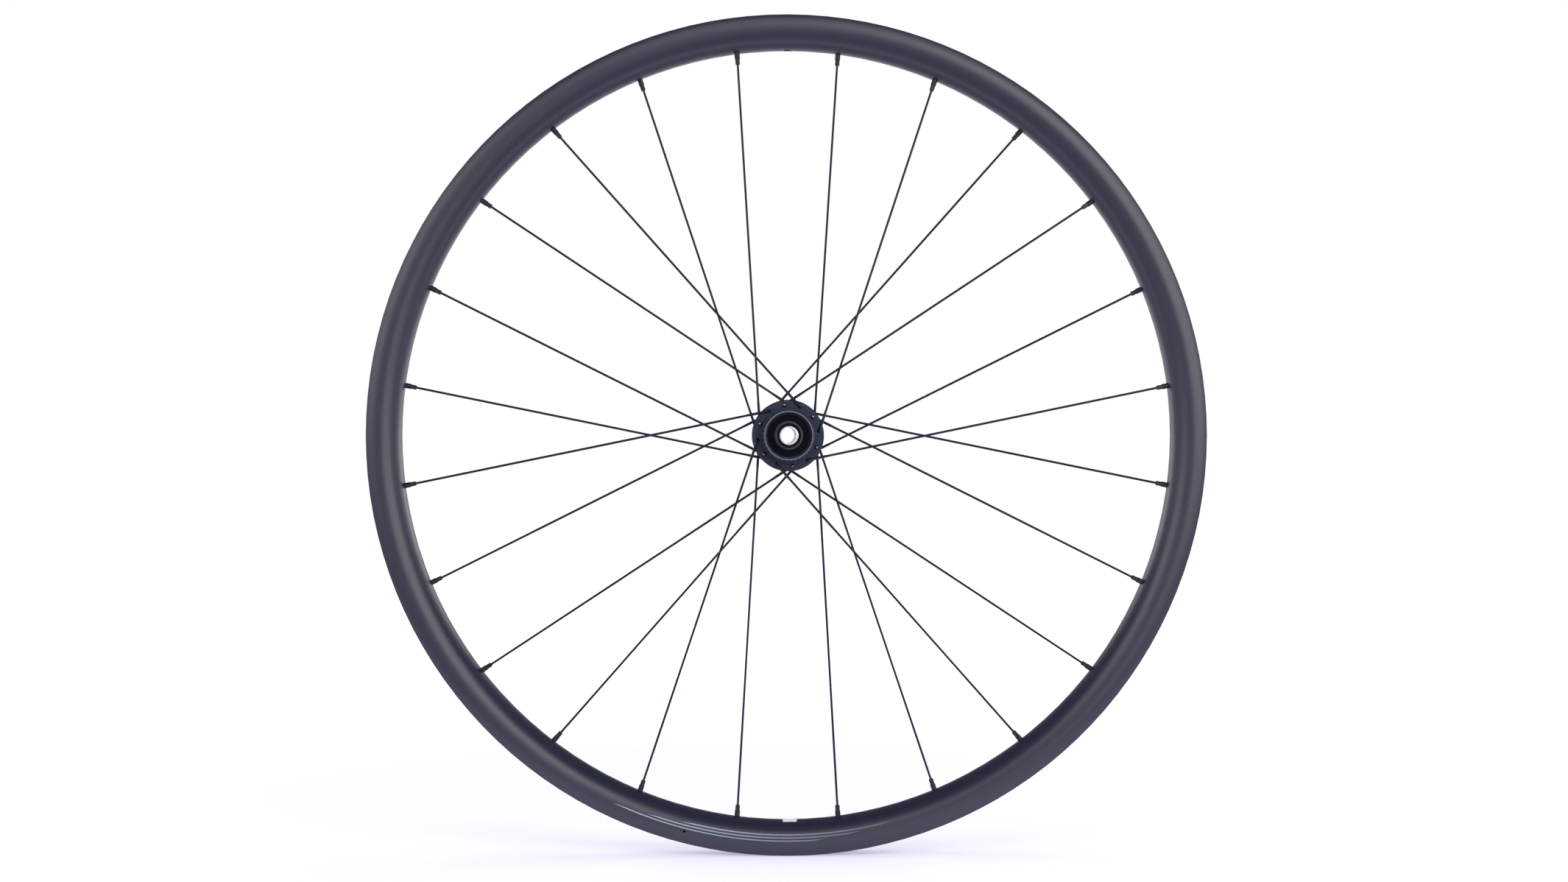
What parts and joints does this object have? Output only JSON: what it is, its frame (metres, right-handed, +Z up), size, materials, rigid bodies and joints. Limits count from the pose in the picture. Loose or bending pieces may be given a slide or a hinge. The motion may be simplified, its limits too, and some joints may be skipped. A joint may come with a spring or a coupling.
{
  "type": "bicycle wheel",
  "caption": "Bare front bicycle wheel for a disc brake: hollow hookless rim, crossed J-bend spokes with nipples, flanged hub with a splined rotor collar and a thru-axle bore.",
  "frame": {"origin": "centre of the wheel, in the middle plane of the rim, on the axle's axis", "axes": "+Y along the axle, from the rotor side to the plain side; +Z up, through the valve hole; +X to the right seen from the rotor side"},
  "size_m": [0.633, 0.1, 0.633],
  "materials": {
    "carbon_rim": "satin carbon-fibre laminate, dark blue-grey",
    "black_nipple": "black anodised",
    "anodised_shell": "black anodised, turned",
    "bearing_seal": "black rubber seal in a steel ring",
    "bearing_steel": "ground bearing steel",
    "bare_aluminium": "turned, bare",
    "anodised_cap": "black anodised, turned, worn on the end face",
    "black_spoke": "black oxide on drawn stainless wire"
  },
  "bodies": {
    "axle": {"axle_tube": "bare_aluminium", "end_cap_left": "anodised_cap", "end_cap_right": "anodised_cap", "bearing_left_inner": "bearing_steel", "bearing_right_inner": "bearing_steel"},
    "wheel": {"rim": "carbon_rim", "spoke_nipples": "black_nipple", "hub_shell": "anodised_shell", "bearing_left_outer": "bearing_seal", "bearing_right_outer": "bearing_seal", "spoke_01": "black_spoke", "spoke_02": "black_spoke", "spoke_03": "black_spoke", "spoke_04": "black_spoke", "spoke_05": "black_spoke", "spoke_06": "black_spoke", "spoke_07": "black_spoke", "spoke_08": "black_spoke", "spoke_09": "black_spoke", "spoke_10": "black_spoke", "spoke_11": "black_spoke", "spoke_12": "black_spoke", "spoke_13": "black_spoke", "spoke_14": "black_spoke", "spoke_15": "black_spoke", "spoke_16": "black_spoke", "spoke_17": "black_spoke", "spoke_18": "black_spoke", "spoke_19": "black_spoke", "spoke_20": "black_spoke", "spoke_21": "black_spoke", "spoke_22": "black_spoke", "spoke_23": "black_spoke", "spoke_24": "black_spoke"}
  },
  "joints": [
    {"name": "wheel_spin", "type": "hinge", "parent": "axle", "child": "wheel", "pos_m": [0, 0, 0], "axis": [0, 1, 0], "continuous": true}
  ]
}
